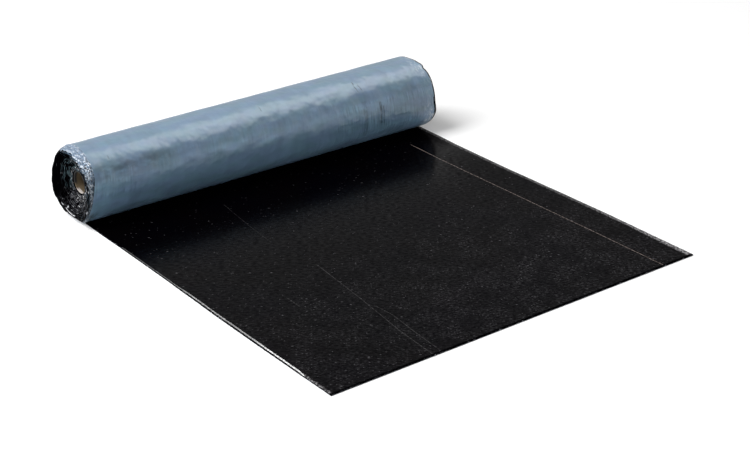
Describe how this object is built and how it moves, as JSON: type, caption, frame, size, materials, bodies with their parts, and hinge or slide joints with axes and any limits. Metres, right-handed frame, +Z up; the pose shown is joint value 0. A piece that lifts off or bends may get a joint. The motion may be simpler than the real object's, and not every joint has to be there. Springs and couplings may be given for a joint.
{
  "type": "roll of roofing felt",
  "caption": "Part-used roll of bituminous roofing felt on a cardboard core, its free end unrolled flat in front of it.",
  "frame": {"origin": "middle of the ground that the roll and its unrolled run cover, at ground level", "axes": "+X along the roll's axis, +Y from the unrolled run's cut end towards the roll, +Z up"},
  "size_m": [1.024, 1.1186, 0.1912],
  "materials": {
    "bitumen_felt": "satin black bitumen sheet with a fine crinkled surface film and small pale flecks",
    "release_film": "thin blue-grey release film bonded to the felt's underside, semi-gloss, crinkled at its margins",
    "core_board": "matt brown spiral-wound cardboard with pale cut ends"
  },
  "bodies": {
    "root": {"roofing_felt": "bitumen_felt", "cardboard_core": "core_board"}
  },
  "joints": []
}
